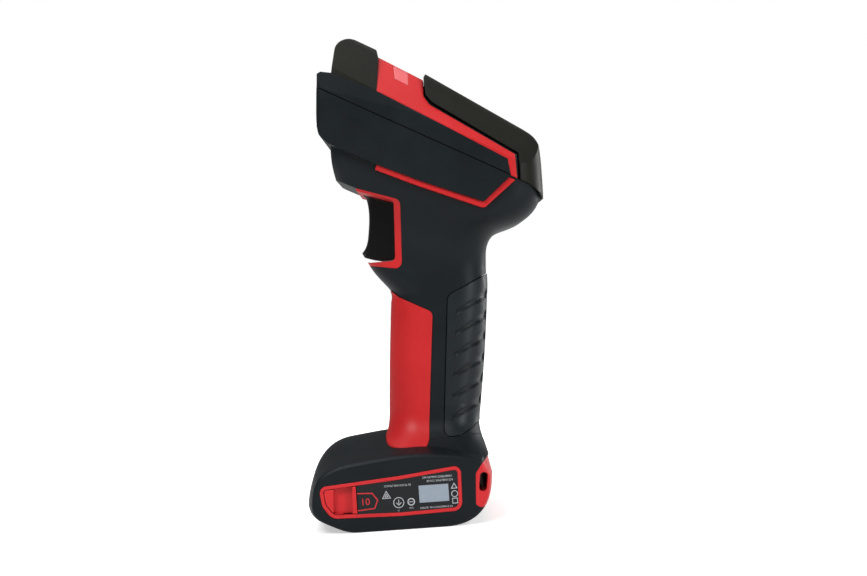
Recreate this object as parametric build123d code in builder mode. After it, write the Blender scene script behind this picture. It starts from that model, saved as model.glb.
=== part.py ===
from build123d import *
import os
from math import cos, radians, sin, tan

# Cordless pistol-grip barcode scanner standing on its foot.
# Origin: middle of the foot's flat underside. Nose towards -X, left side towards -Y, +Z up.

# ---------------------------------------------------------------- driving dimensions (mm, degrees)
# Foot
foot_length = 82.8
foot_width = 74.0
foot_height = 40.5
foot_crown = 8.7
foot_rim_radius = 2.0
foot_flat_front = 18.5
sole_trim = 0.05
foot_flat_rear = 19.0
seam_drop = 3.5

# Grip and neck
grip_base_x = 16.5
grip_lean = 6.6
grip_length = 62.8
grip_depth = 43.0
grip_width = 35.0
grip_corner = 13.5
neck_height = 62.6
neck_offset = 3.8

# Head
head_tilt = 28.0
nose_reach = 57.0
head_length = 108.0
head_width = 75.0
head_rear_width = 66.6
head_rear_radius = 15.0
head_rear_crown = 4.0
nose_corner_radius = 5.0
nose_lean = 4.3
panel_lean_up = 14.5
panel_lean_down = 5.5
panel_drop = 19.8
roof_height = 26.1
roof_width = 40.0
roof_slope = 3.0
crease_height = 9.4
shoulder_radius = 6.5
hood_rise = 2.6
bumper_rise = 1.7
bumper_slope = 5.6

# Walls, skins and gaps
wall = 2.2
skin = 2.0
seam_gap = 0.3
trim_line = 2.1
trim_recess = 1.0
grip_proud = 0.4
groove_height = 0.45
groove_depth = 0.8

# Trigger
trigger_width = 18.0
trigger_side_gap = 0.4
trigger_pin_radius = 1.25
pin_clearance = 0.05
trigger_boss_radius = 3.4
trigger_pin_length = 27.0
bracket_thickness = 2.0
spring_wire = 0.5
spring_turns = 4

# Exit window and scan engine
window_width = 56.0
window_height = 15.6
window_thickness = 1.8
window_set_back = 2.0
bezel_frame = 2.4
bezel_depth = 5.0
gasket_thickness = 0.8
engine_width = 27.0
engine_height = 17.0
engine_depth = 12.0
engine_set_back = 13.0
lens_radius = 4.2
barrel_radius = 5.4
barrel_length = 7.0
led_radius = 1.6
board_thickness = 1.6

# Foot fittings
label_depth = 1.2
label_line = 1.5
latch_travel = 2.0
latch_cap = 4.0
latch_length = 14.4
latch_gap = 0.3
thumb_pocket_depth = 2.4
latch_arm = 1.6
bay_length = 52.0
bay_width = 54.0
bay_height = 18.2
tray_thickness = 3.0
battery_gap = 0.4
case_wall = 1.5
cell_radius = 5.0
charge_pad_radius = 2.0
contact_radius = 0.6
contact_pitch = 4.0
lanyard_slot_width = 3.4
lanyard_slot_height = 8.4
screw_radius = 1.25
screw_head_radius = 2.4
screw_length = 9.0

# ---------------------------------------------------------------- reference points and planes
throat_x = grip_base_x + grip_length * tan(radians(grip_lean))
throat_z = foot_height + grip_length
tilt_cos = cos(radians(head_tilt))
tilt_sin = sin(radians(head_tilt))
nose_x = throat_x + neck_offset - nose_reach * tilt_cos
nose_z = throat_z + neck_height + nose_reach * tilt_sin
face_angle = 28.0
face_turn = radians(head_tilt - face_angle)
face_lean = radians(nose_lean)

head_along = Vector(tilt_cos, 0, -tilt_sin)
head_up = Vector(tilt_sin, 0, tilt_cos)
face_along = Vector(cos(face_turn), 0, -sin(face_turn))
face_up = Vector(sin(face_turn), 0, cos(face_turn))
nose_point = Vector(nose_x, 0, nose_z)

side = Plane.XZ
head_side = Plane(origin=nose_point, x_dir=head_along, z_dir=(0, -1, 0))
head_cross = Plane(origin=nose_point, x_dir=(0, 1, 0), z_dir=head_along)
head_flat = Plane(origin=nose_point, x_dir=head_along, z_dir=head_up)
face_side = Plane(origin=nose_point, x_dir=face_along, z_dir=(0, -1, 0))
face_plan = Plane(origin=nose_point, x_dir=face_along, z_dir=face_up)



def roof_plane(along, height, slope):
    """Plane across the head that carries the roof's cross-section down a slope."""
    turn = radians(head_tilt + slope)
    origin = nose_point + head_along * along + head_up * height
    return Plane(origin=origin, x_dir=(0, 1, 0), z_dir=(cos(turn), 0, -sin(turn)))


roof_cross = roof_plane(24.0, roof_height, roof_slope)
bumper_cross = roof_plane(38.6, roof_height, bumper_slope)

nose_out = face_along * -cos(face_lean) + face_up * sin(face_lean)
nose_middle = nose_point - face_along * 1.09 - face_up * 5.2
nose_plane = Plane(origin=nose_middle, x_dir=(0, -1, 0), z_dir=nose_out)

reach = 60.0
os.makedirs("parts", exist_ok=True)


# ---------------------------------------------------------------- shared shapes
def outline(plane, points, rounding=(), grow=0.0):
    """Closed outline with straight sides; rounding lists (corner number, radius)."""
    with BuildSketch(plane) as face:
        with BuildLine():
            Polyline(*points, close=True)
        make_face()
        for number, radius in rounding:
            fillet(face.vertices().sort_by_distance((*points[number], 0))[0], radius)
        if grow != 0:
            offset(amount=grow, kind=Kind.INTERSECTION)
    return face.sketch


def prism(plane, points, rounding=(), grow=0.0):
    """Side outline carried right through, to the left and to the right."""
    with BuildPart() as solid:
        extrude(outline(plane, points, rounding, grow), amount=reach, both=True)
    return solid.part


def block(plane, width, height, depth, radius=0.0):
    """Rounded rectangle centred on a plane and carried forward from it."""
    with BuildPart() as solid:
        with BuildSketch(plane):
            if radius > 0:
                RectangleRounded(width, height, radius)
            else:
                Rectangle(width, height)
        extrude(amount=depth)
    return solid.part


def rod(plane, radius, length, bore=0.0):
    """Round bar, or a tube where a bore is given, standing on a plane."""
    with BuildPart() as solid:
        with BuildSketch(plane):
            Circle(radius)
            if bore > 0:
                Circle(bore, mode=Mode.SUBTRACT)
        extrude(amount=length)
    return solid.part


def write(part, name):
    """Label a finished piece and write it to its own file."""
    part.label = name
    export_step(part, f"parts/{name}.step")


# ---------------------------------------------------------------- foot form
def foot_section(y, front_inset, rear_inset, drop, shoulder_run, shoulder_drop):
    """Side outline of the foot at one width, seen from the left."""
    front = -foot_length / 2 + front_inset
    rear = foot_length / 2 - rear_inset
    top = foot_height - drop
    flat_front = -foot_flat_front
    flat_rear = foot_flat_rear
    shoulder = (front + shoulder_run, top - shoulder_drop)
    with BuildSketch(Plane.XZ.offset(-y)) as face:
        with BuildLine():
            Line((flat_front, -sole_trim), (flat_rear, -sole_trim))
            Spline((flat_rear, -sole_trim), (rear - 3.9, 7.0), (rear, 21), tangents=((1, 0), (0.05, 1)))
            Line((rear, 21), (rear - 3.2, top - 4.2))
            Spline((rear - 3.2, top - 4.2), (10, top), (-21, top - 2.4), tangents=((-1, 0.25), (-1, -0.12)))
            Spline((-21, top - 2.4), shoulder, (front, 12), tangents=((-1, -0.12), (-0.1, -1)))
            Spline((front, 12), (front + 6.8, 4.1), (flat_front, -sole_trim), tangents=((0.05, -1), (1, 0)))
        make_face()
    return face.sketch


def foot_form():
    """Solid of the whole foot: crowned top, curved ends and flat side faces."""
    half = foot_width / 2
    near = [
        (half, 3.7, 1.9, foot_crown, 3.2, 8.2),
        (half - 6, 1.9, 0.6, foot_crown - 1.5, 4.4, 8.8),
        (half - 20, 0.3, 0.1, foot_crown - 5.3, 6.0, 9.5),
    ]
    far = [(-y, *rest) for y, *rest in near]
    stations = far + [(0, 0, 0, 0, 6.6, 9.7)] + near[::-1]
    with BuildPart() as form:
        loft([foot_section(*station) for station in stations])
        ends = form.faces().sort_by(Axis.Y)
        fillet(ends[0].edges() + ends[-1].edges(), foot_rim_radius)
        split(bisect_by=Plane.XY, keep=Keep.TOP)
    return form.part


# ---------------------------------------------------------------- grip and neck form
def grip_axis(z):
    """X of the grip's centre line at height z."""
    return grip_base_x + (z - foot_height) * tan(radians(grip_lean))


def head_point(u, v):
    """World (x, z) of a point given along and across the head."""
    point = nose_point + head_along * u + head_up * v
    return (point.X, point.Z)


def grip_station(front_z, rear_z, front_extra, rear_extra, side_extra, front_r, rear_r):
    """Station across the grip: (front point, rear point, half width, front radius, rear radius)."""
    front = (grip_axis(front_z) - grip_depth / 2 - front_extra, front_z)
    rear = (grip_axis(rear_z) + grip_depth / 2 + rear_extra, rear_z)
    return (front, rear, grip_width / 2 + side_extra, front_r, rear_r)


def flare_stations():
    """Stations where the grip spreads into the foot, from the foot upwards."""
    rows = [
        (-13.0, -14.0, 14.2, 4.5, 18.9, 12.0, 6.0),
        (-9.6, -10.6, 6.9, 3.1, 14.2, 13.0, 9.0),
        (-6.1, -7.0, 2.7, 1.6, 9.4, 14.0, 12.0),
        (-2.4, -3.2, -0.2, 0.3, 5.0, 14.0, 13.0),
        (1.6, 1.0, -1.4, -0.6, 2.0, grip_corner, grip_corner),
        (5.8, 5.4, -1.6, -0.7, 0.5, grip_corner, grip_corner),
        (10.0, 10.0, -1.4, -0.5, 0.0, grip_corner, grip_corner),
    ]
    return [grip_station(foot_height + front, foot_height + rear, *rest) for front, rear, *rest in rows]


def middle_stations():
    """Stations along the grip between the flare and the throat."""
    top = (throat_z - 5.0, throat_z - 5.0, 0.0, 0.0, 0.2, grip_corner, grip_corner)
    bottom = (foot_height + 10.0, foot_height + 10.0, -1.4, -0.5, 0.0, grip_corner, grip_corner)
    middle = (bottom[0] + top[0]) / 2
    return [grip_station(*bottom), grip_station(middle, middle, -0.5, 0.2, 0.0, grip_corner, grip_corner),
            grip_station(*top)]


def neck_stations():
    """Stations from the throat to the inside of the head."""
    stations = [grip_station(throat_z - 5.0, throat_z - 5.0, 0.0, 0.0, 0.2, grip_corner, grip_corner)]
    # throat and ledge under the trigger: offsets from the throat point
    for front_x, front_z, rear_x, rear_z, side_extra, front_r in (
        (-23.4, 1.6, 21.5, -0.2, 0.2, 12.5),
        (-29.8, 10.0, 21.6, 5.2, 0.3, 10.0),
        (-35.3, 24.7, 21.9, 11.2, 1.1, 9.0),
    ):
        front = (throat_x + front_x, throat_z + front_z)
        rear = (throat_x + rear_x, throat_z + rear_z)
        stations.append((front, rear, grip_width / 2 + side_extra, front_r, grip_corner))
    # opening into the head: (along, up) of the front and the rear point
    stretch = head_length - 109.0
    for front, rear, side_inset, front_r, rear_r in (
        ((30.1, -41.4), (95.9, -30.7), 15.5, 8.0, 14.0),
        ((23.0, -33.9), (97.4, -24.2), 11.0, 7.0, 15.0),
        ((17.7, -27.1), (104.3, -16.9), 7.0, 7.0, 16.0),
        ((13.7, -19.6), (108.8, -6.5), 5.3, 6.0, 16.0),
        ((9.1, -9.6), (108.4, 0.7), 4.7, 6.0, 16.0),
        ((5.3, 0.3), (105.6, 7.7), 4.6, 6.0, 16.0),
    ):
        rear_point = head_point(rear[0] + stretch, rear[1])
        stations.append((head_point(*front), rear_point, head_width / 2 - side_inset, front_r, rear_r))
    return stations


def grip_section(front, rear, half_width, front_r, rear_r, grow):
    """One rounded cross-section between a front and a rear point."""
    along = Vector(rear[0] - front[0], 0, rear[1] - front[1])
    middle = Vector((front[0] + rear[0]) / 2, 0, (front[1] + rear[1]) / 2)
    length = along.length + 2 * grow
    width = 2 * (half_width + grow)
    with BuildSketch(Plane(origin=middle, x_dir=along, z_dir=(-along.Z, 0, along.X))) as face:
        Rectangle(length, width)
        fillet(face.vertices().group_by(Axis.X)[0], front_r + grow)
        fillet(face.vertices().group_by(Axis.X)[-1], rear_r + grow)
    return face.sketch


def grip_form(grow=0.0):
    """Solid of grip and neck, offset by grow."""
    with BuildPart() as form:
        for stations in (flare_stations(), middle_stations(), neck_stations()):
            loft([grip_section(*station, grow) for station in stations])
    return form.part


# ---------------------------------------------------------------- head form
def face_outline(grow):
    """Nose and rear faces seen from the left, in the frame of the nose face."""
    stretch = head_length - 109.0
    along = stretch * cos(radians(face_angle))
    down = stretch * sin(radians(face_angle))
    front = [(2.3, 38.0), (-2.0, -17.4), (-3.7, -40.0)]
    rear = [(92.0, -70.0), (96.0, -52.3), (96.8, -45.5), (97.0, -38.9), (96.5, -33.1), (95.2, -26.0), (84.0, 38.0)]
    return [(p - grow, q) for p, q in front] + [(p + along + grow, q - down) for p, q in rear]


def plan_outline(grow):
    """Plan of the head, looking down on it."""
    rear = 97.1 + (head_length - 109.0) * cos(radians(face_angle)) + grow
    corner = rear - head_rear_crown
    front = -2.4 - grow
    front_half = head_width / 2 + grow
    rear_half = head_rear_width / 2 + grow
    with BuildSketch(face_plan.offset(-reach - 20)) as face:
        with BuildLine():
            Line((corner, -rear_half), (front, -front_half))
            Line((front, -front_half), (front, front_half))
            Line((front, front_half), (corner, rear_half))
            ThreePointArc((corner, rear_half), (rear, 0), (corner, -rear_half))
        make_face()
        fillet(face.vertices().group_by(Axis.X)[0], nose_corner_radius + grow)
        fillet(face.vertices().group_by(Axis.X)[-1], head_rear_radius + grow)
    return face.sketch


def roof_outline(plane, grow, rise):
    """Cross-section of the roof: crowned top, round shoulders and sloping sides."""
    top = rise + grow
    shoulder = roof_width / 2 + 0.4 * rise + 1.2 * grow
    crease = head_width / 2 - crease_height * tan(radians(panel_lean_up)) + 1.2 * grow
    crease_drop = crease_height - roof_height
    spread = (crease - shoulder) / (top - 1.2 - crease_drop)
    foot_of_side = shoulder + spread * (reach + top - 1.2)
    with BuildSketch(plane.offset(-55)) as face:
        with BuildLine():
            Line((foot_of_side, -reach), (shoulder, top - 1.2))
            ThreePointArc((shoulder, top - 1.2), (0, top), (-shoulder, top - 1.2))
            Line((-shoulder, top - 1.2), (-foot_of_side, -reach))
            Line((-foot_of_side, -reach), (foot_of_side, -reach))
        make_face()
        fillet(face.vertices().group_by(Axis.Y)[-1], shoulder_radius)
    return face.sketch


def panel_outline(grow):
    """Cross-section of the side panels, widest at the parting line."""
    half = head_width / 2 + grow
    upper = half - reach * tan(radians(panel_lean_up))
    lower = half - reach * tan(radians(panel_lean_down))
    return outline(head_cross.offset(-40), [
        (half, 0), (upper, reach), (-upper, reach), (-half, 0), (-lower, -reach), (lower, -reach)])


def head_form(grow=0.0, rise=0.0, roof=roof_cross):
    """Solid of the head, offset by grow, with its roof on the given plane lifted by rise."""
    run = head_length + 80
    with BuildPart() as form:
        extrude(panel_outline(grow), amount=run)
        extrude(roof_outline(roof, grow, rise), amount=run, mode=Mode.INTERSECT)
        extrude(plan_outline(grow), amount=2 * reach + 20, mode=Mode.INTERSECT)
        extrude(outline(face_side, face_outline(grow)), amount=reach, both=True, mode=Mode.INTERSECT)
    return form.part



# ---------------------------------------------------------------- regions of the head, along and up from the nose
rear_shift = head_length - 109.0
tail = 92.4 + rear_shift

hood_region = [(2.3, 8.4), (-4.6, 28.0), (14.4, 28.0), (16.8, 24.8), (23.3, 9.6)]
hood_rounding = [(1, 6.5), (2, 1.5)]
band_region = [
    (13.6, 40.0), (16.6, 25.4), (23.4, 9.55), (49.2, 8.2), (tail - 4.2, 6.0), (tail, 0.0),
    (tail + 3.0, 0.0), (tail - 2.2, 9.3), (46.2, 14.2), (42.4, 16.7), (38.3, 24.6), (38.3, 40.0),
]
bumper_region = [
    (38.6, 40.0), (38.6, 24.9), (43.0, 17.6), (47.0, 15.6), (tail - 0.9, 10.6), (tail + 4.6, 0.0),
    (tail + 8.0, 0.2), (tail + 12.0, -0.4), (tail + 15.7, -1.5), (tail + 26.0, -6.5), (tail + 26.0, 40.0),
]
upper_region = [(-14.0, 0.0), (-14.0, 3.0), (-3.9, 4.7), (-2.2, 7.2), (1.6, 8.5), (3.6, 9.1), (3.6, 45.0), (160.0, 45.0), (160.0, 0.0)]
panel_region = [
    (-14.0, 0.0), (tail, 0.0), (tail - 6.1, -panel_drop + 4.6), (56.3, -panel_drop + 1.5),
    (36.0, -panel_drop + 0.2), (13.5, -panel_drop), (8.3, -panel_drop + 1.6), (5.84, -panel_drop + 4.8),
    (-14.0, -panel_drop + 4.8),
]
panel_rounding = [(2, 1.5), (5, 4.0), (6, 4.0)]
line_region = [
    (36.3, -panel_drop + 0.25), (56.3, -panel_drop + 1.5), (tail - 6.1, -panel_drop + 4.6), (tail, 0.0),
    (tail + 3.0, 0.0), (tail - 4.8, -panel_drop + 2.1), (57.3, -panel_drop + 1.4 - trim_line),
    (36.6, -panel_drop + 0.1 - trim_line),
]
line_rounding = [(2, 1.5), (5, 2.5)]
bumper_back_region = [
    (20.0, -60.0), (20.0, 34.0), (tail + 3.9, 21.0), (tail + 40.0, -27.0), (tail + 40.0, -60.0),
]
window_light_region = [(24.0, 40.0), (24.4, 24.0), (27.6, 18.8), (34.0, 18.5), (31.3, 24.0), (31.0, 40.0)]
below_parting = [(-40.0, 0.0), (160.0, 0.0), (160.0, -200.0), (-40.0, -200.0)]

# ---------------------------------------------------------------- regions of the grip, world x and z
front_grip_region = [
    (throat_x - reach, throat_z - 0.2), (throat_x - 21.8, throat_z - 0.2), (throat_x - 18.3, throat_z - 3.2),
    (throat_x - 3.9, throat_z - 10.7), (grip_base_x - 1.5, foot_height + 3.5),
    (grip_base_x - 2.0, foot_height - 4.8), (grip_base_x - 8.4, foot_height - 12.2),
    (throat_x - reach, foot_height - 12.2),
]
front_grip_rounding = [(3, 3.0), (5, 7.0)]
rear_grip_region = [
    (throat_x + 36.2, throat_z + 11.6), (throat_x + 3.3, throat_z - 4.0), (grip_base_x + 4.7, foot_height - 3.1),
    (grip_base_x + 12.5, foot_height - 2.9), (throat_x + 36.2, foot_height + 14.0),
]
rear_grip_rounding = [(1, 3.5), (2, 3.0), (3, 10.0)]

# trigger opening: outer edge of its lining, then inner edge
opening_region = [
    (throat_x - reach, throat_z + 59.1), (throat_x - 33.5, throat_z + 46.0), (throat_x - 14.7, throat_z + 39.7),
    (throat_x - 16.2, throat_z + 9.4), (throat_x - 29.9, throat_z + 11.7), (throat_x - reach, throat_z + 16.8),
]
opening_rounding = [(2, 3.0), (3, 3.0)]
mouth_region = [
    (throat_x - reach, throat_z + 60.6), (throat_x - 33.7, throat_z + 47.5), (throat_x - 33.7, throat_z + 44.9),
    (throat_x - 17.6, throat_z + 39.6), (throat_x - 19.0, throat_z + 13.3), (throat_x - 30.0, throat_z + 13.3),
    (throat_x - reach, throat_z + 18.6),
]
mouth_rounding = [(3, 2.0), (4, 2.0)]

# ---------------------------------------------------------------- head, upper half
core = head_form(-skin)
core_region = [(3.6, -60.0), (3.6, 45.0), (160.0, 45.0), (160.0, -60.0)]
with BuildPart() as head_core:
    add(core)
    add(prism(head_side, core_region), mode=Mode.INTERSECT)

with BuildPart() as nose_hood:
    add(head_form(0.0, hood_rise))
    add(prism(head_side, hood_region, hood_rounding), mode=Mode.INTERSECT)
    add(head_core.part, mode=Mode.SUBTRACT)

with BuildPart() as status_window:
    add(head_form())
    add(prism(head_side, window_light_region), mode=Mode.INTERSECT)
    add(head_core.part, mode=Mode.SUBTRACT)

with BuildPart() as head_band:
    add(head_form())
    add(prism(head_side, band_region), mode=Mode.INTERSECT)
    add(prism(head_side, window_light_region), mode=Mode.SUBTRACT)
    add(head_core.part, mode=Mode.SUBTRACT)

with BuildPart() as rear_bumper:
    add(head_form(0.3, bumper_rise, bumper_cross))
    add(prism(head_side, bumper_region), mode=Mode.INTERSECT)
    add(prism(head_side, bumper_back_region, [(2, 12.0)]), mode=Mode.INTERSECT)
    add(head_core.part, mode=Mode.SUBTRACT)

with BuildPart() as upper_hollow:
    add(head_form(-skin - wall))
    add(prism(head_side, [(5.8, -1.0), (5.8, 45.0), (160.0, 45.0), (160.0, -1.0)]), mode=Mode.INTERSECT)

with BuildPart() as skin_space:
    add(prism(head_side, hood_region, hood_rounding))
    add(prism(head_side, band_region))
    add(prism(head_side, bumper_region, grow=1.0))
    add(head_core.part, mode=Mode.SUBTRACT)

with BuildPart() as upper_housing:
    add(head_form())
    add(prism(head_side, upper_region), mode=Mode.INTERSECT)
    add(skin_space.part, mode=Mode.SUBTRACT)
    add(upper_hollow.part, mode=Mode.SUBTRACT)
write(nose_hood.part, "nose_hood")
write(head_band.part, "head_band")
write(status_window.part, "status_window")
write(rear_bumper.part, "rear_bumper")

# ---------------------------------------------------------------- grip, neck and lower half of the head
body = grip_form()
body_inside = grip_form(-skin)
body_hollow = grip_form(-skin - wall)
foot_body = foot_form()

with BuildPart() as below_seam:
    with Locations((0, 0, foot_height - seam_drop - 2 * reach)):
        Box(4 * reach, 4 * reach, 4 * reach)

with BuildPart() as panels:
    add(head_form())
    add(prism(head_side, panel_region, panel_rounding), mode=Mode.INTERSECT)

with BuildPart() as trim_lines:
    add(head_form(-trim_recess))
    add(prism(head_side, line_region, line_rounding), mode=Mode.INTERSECT)
    add(grip_form(-1.0), mode=Mode.SUBTRACT)
lines = trim_lines.solids().sort_by(Axis.Y)

# lining of the trigger opening and the slots that the trigger passes through
trigger_slot = trigger_width / 2 + trigger_side_gap
with BuildPart() as slot_space:
    add(prism(side, [
        (throat_x - 31.6, throat_z + 36.0), (throat_x - 31.6, throat_z + 54.0), (throat_x - 10.0, throat_z + 54.0),
        (throat_x - 10.0, throat_z + 13.4), (throat_x - 24.0, throat_z + 13.4),
    ]))
    Box(4 * reach, 2 * trigger_slot, 8 * reach, mode=Mode.INTERSECT)

with BuildPart() as trigger_surround:
    add(body)
    add(prism(side, opening_region, opening_rounding), mode=Mode.INTERSECT)
    add(prism(side, mouth_region, mouth_rounding), mode=Mode.SUBTRACT)
    add(slot_space.part, mode=Mode.SUBTRACT)

with BuildPart() as front_grip_space:
    add(prism(side, front_grip_region, front_grip_rounding))
    add(body_inside, mode=Mode.SUBTRACT)

with BuildPart() as front_grip:
    add(grip_form(grip_proud))
    add(front_grip_space.part, mode=Mode.INTERSECT)
    add(foot_body, mode=Mode.SUBTRACT)

with BuildPart() as rear_grip_space:
    add(prism(side, rear_grip_region, rear_grip_rounding, grow=seam_gap))
    add(body_inside, mode=Mode.SUBTRACT)

rib_pitch = 9.4
rib_count = 6
rib_angle = 27.0
rib_run = 18.0
rib_levels = ((0.3, 1.3, 1.0), (0.7, 1.9, 0.7), (1.1, 2.5, 0.35))


def rib_step(front_half, rear_half, depth):
    """One step of the slanted grip grooves: half width at each end, and depth below the pad."""
    rise = rib_run * tan(radians(rib_angle))
    with BuildPart() as grooves:
        for row in range(rib_count):
            z = throat_z - 11.4 - row * rib_pitch
            x = grip_axis(z) + 7.9
            add(prism(side, [(x, z - front_half), (x + rib_run, z + rise - rear_half),
                             (x + rib_run, z + rise + rear_half), (x, z + front_half)]))
        add(grip_form(grip_proud - depth), mode=Mode.SUBTRACT)
        Box(4 * reach, grip_width - 2 * grip_corner, 8 * reach, mode=Mode.SUBTRACT)
    return grooves.part


with BuildPart() as rib_cuts:
    for level in rib_levels:
        add(rib_step(*level))

with BuildPart() as rear_grip:
    add(grip_form(grip_proud))
    add(prism(side, rear_grip_region, rear_grip_rounding), mode=Mode.INTERSECT)
    add(body_inside, mode=Mode.SUBTRACT)
    add(rib_cuts.part, mode=Mode.SUBTRACT)

with BuildPart() as lower_hollow:
    add(body_hollow)
    add(prism(head_side, [(-40.0, 1.0), (160.0, 1.0), (160.0, -220.0), (-40.0, -220.0)]), mode=Mode.INTERSECT)
    add(prism(side, opening_region, grow=wall), mode=Mode.SUBTRACT)
with BuildPart() as panel_hollow:
    add(head_form(-wall))
    add(prism(head_side, panel_region, grow=-wall - 0.6), mode=Mode.INTERSECT)
with BuildPart() as top_mouth:
    add(head_form(-wall - skin))
    add(prism(head_side, [(3.6, -2.9), (tail + 4.0, -2.9), (tail + 4.0, 1.0), (3.6, 1.0)]), mode=Mode.INTERSECT)

with BuildPart() as main_housing:
    add(body)
    add(prism(head_side, below_parting), mode=Mode.INTERSECT)
    add(panels.part)
    add(below_seam.part, mode=Mode.SUBTRACT)
    add(foot_body, mode=Mode.SUBTRACT)
    add(trim_lines.part, mode=Mode.SUBTRACT)
    add(prism(head_side, bumper_region), mode=Mode.SUBTRACT)
    add(prism(side, opening_region, opening_rounding), mode=Mode.SUBTRACT)
    add(front_grip_space.part, mode=Mode.SUBTRACT)
    add(rear_grip_space.part, mode=Mode.SUBTRACT)
    add(lower_hollow.part, mode=Mode.SUBTRACT)
    add(panel_hollow.part, mode=Mode.SUBTRACT)
    add(top_mouth.part, mode=Mode.SUBTRACT)
    add(slot_space.part, mode=Mode.SUBTRACT)
write(lines[0], "trim_line_left")
write(lines[-1], "trim_line_right")
write(trigger_surround.part, "trigger_surround")
write(front_grip.part, "front_grip")
write(rear_grip.part, "rear_grip")

# ---------------------------------------------------------------- foot shell and its fittings
label_front = -foot_length / 2
label_rear = foot_length / 2
side_y = foot_width / 2
label_region = [
    (label_front + 6.9, 20.9), (0.0, 23.4), (label_rear - 14.0, 26.3), (label_rear - 14.6, 6.8), (0.0, 6.2),
    (label_front + 11.8, 7.0), (label_front + 8.0, 12.5),
]
label_rounding = [(0, 3.0), (2, 3.0), (3, 4.0), (5, 5.0), (6, 6.0)]
label_proud = 0.15
latch_edge = label_front + latch_length + 8.8
latch_space_depth = latch_cap + latch_travel + 2.4
hook_x = latch_edge - 2.4
hook_width = 3.2
hook_top = bay_height + 6.4
hook_reach = side_y - 21.2
bay_x = 1.0
bay_corner = 6.0
ceiling_top = bay_height + skin
lanyard_x = label_rear - 4.7
lanyard_z = 18.4
post_x = (6.5, 23.8)
post_y = 9.5
post_radius = 3.2
post_top = foot_height + 0.5
counterbore_top = foot_height - 6.5
screw_places = [(x, y) for x in post_x for y in (-post_y, post_y)]
latch_cut = Plane((latch_edge, 0, 0), z_dir=(1, 0, 0))


def label_part(shrink, outside, inside):
    """Part of the left label area, shrunk inwards, between two distances from the middle plane."""
    with BuildPart() as plate:
        extrude(outline(Plane.XZ.offset(inside), label_region, label_rounding, -shrink), amount=outside - inside)
    return plate.part


def box(x_low, x_high, y_low, y_high, z_low, z_high):
    """Plain block between limits."""
    with BuildPart() as solid:
        with Locations(((x_low + x_high) / 2, (y_low + y_high) / 2, (z_low + z_high) / 2)):
            Box(x_high - x_low, y_high - y_low, z_high - z_low)
    return solid.part


with BuildPart() as battery_bay:
    add(block(Plane((bay_x, 0, -1)), bay_length, bay_width, bay_height + 1, bay_corner))

label_floor = side_y - label_depth
with BuildPart() as label_frame_left:
    add(label_part(0, side_y + label_proud, label_floor))
    add(label_part(label_line, side_y + label_proud, label_floor), mode=Mode.SUBTRACT)

with BuildPart() as label_plate_left:
    add(label_part(label_line, side_y, label_floor))
    split(bisect_by=latch_cut, keep=Keep.TOP)

# latch: a cap with a thumb pocket, and a hook that reaches over the ceiling to the battery's lip
with BuildPart() as latch_pocket:
    add(label_part(label_line, side_y + 1, side_y - latch_space_depth))
    split(bisect_by=latch_cut, keep=Keep.BOTTOM)
    add(box(hook_x - hook_width / 2 - 0.6, hook_x + hook_width / 2 + 0.6, latch_cap - side_y,
            latch_travel + 0.8 - side_y + hook_reach, bay_height - 0.7, hook_top + 0.7))

thumb_region = [
    (latch_edge - 9.8, 20.2), (latch_edge - 1.8, 20.0), (latch_edge - 2.4, 8.2), (latch_edge - 10.6, 9.2),
]
cap_back = side_y - latch_cap
hook_low = hook_x - hook_width / 2
hook_high = hook_x + hook_width / 2
with BuildPart() as latch_left:
    add(label_part(label_line + latch_gap, side_y + 0.1, cap_back))
    split(bisect_by=latch_cut.offset(-latch_gap), keep=Keep.BOTTOM)
    extrude(outline(Plane.XZ.offset(side_y + 1), thumb_region), amount=-1 - thumb_pocket_depth, mode=Mode.SUBTRACT)
    add(box(hook_low, hook_high, -cap_back, latch_arm - cap_back, 14, hook_top))
    add(box(hook_low, hook_high, -cap_back, hook_reach - side_y, hook_top - latch_arm, hook_top))
    add(box(hook_low, hook_high, hook_reach - side_y - latch_arm, hook_reach - side_y, bay_height + 0.3, hook_top))
    add(box(hook_low, hook_high, hook_reach - side_y - latch_arm - 1.6, hook_reach - side_y - latch_arm,
            bay_height + 0.3, bay_height + 2.2))

with BuildPart() as latch_right:
    mirror(latch_left.part, about=Plane.XZ)

latch_spring_x = label_front + 12.4
latch_spring_z = 13.5
latch_spring_radius = 2.2


def coil(centre, direction, radius, length, turns):
    """Compression spring of round wire, from a centre along a direction."""
    wire = spring_wire / 2
    with BuildPart() as spring:
        with BuildLine() as route:
            Helix((length - 2 * wire) / turns, length - 2 * wire, radius,
                  center=Vector(*centre) + Vector(*direction) * wire, direction=direction)
        with BuildSketch(Plane(route.line @ 0, z_dir=route.line % 0)):
            Circle(wire)
        sweep()
    return spring.part


spring_seat = side_y - latch_space_depth
with BuildPart() as latch_spring_left:
    add(coil((latch_spring_x, -cap_back, latch_spring_z), (0, 1, 0), latch_spring_radius,
             cap_back - spring_seat, spring_turns))

with BuildPart() as latch_spring_right:
    mirror(latch_spring_left.part, about=Plane.XZ)

# lanyard loop: a bar across the rear of the foot with a slot under it
lanyard_region = [
    (label_rear - 8.6, 8.8), (label_rear - 7.8, 22.2), (label_rear - 4.8, 26.3), (label_rear + 2.0, 31.5),
    (label_rear + 2.0, 7.6), (label_rear - 6.8, 7.6),
]
with BuildPart() as lanyard_slot:
    with BuildSketch(Plane.XZ.offset(-side_y - 5)):
        with Locations((lanyard_x, lanyard_z)):
            SlotOverall(lanyard_slot_height, lanyard_slot_width, rotation=82)
    extrude(amount=2 * side_y + 10)

with BuildPart() as lanyard_loop:
    add(foot_body)
    add(prism(side, lanyard_region, [(0, 1.5), (1, 1.5), (2, 1.5), (5, 1.0)]), mode=Mode.INTERSECT)
    add(lanyard_slot.part, mode=Mode.SUBTRACT)

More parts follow.
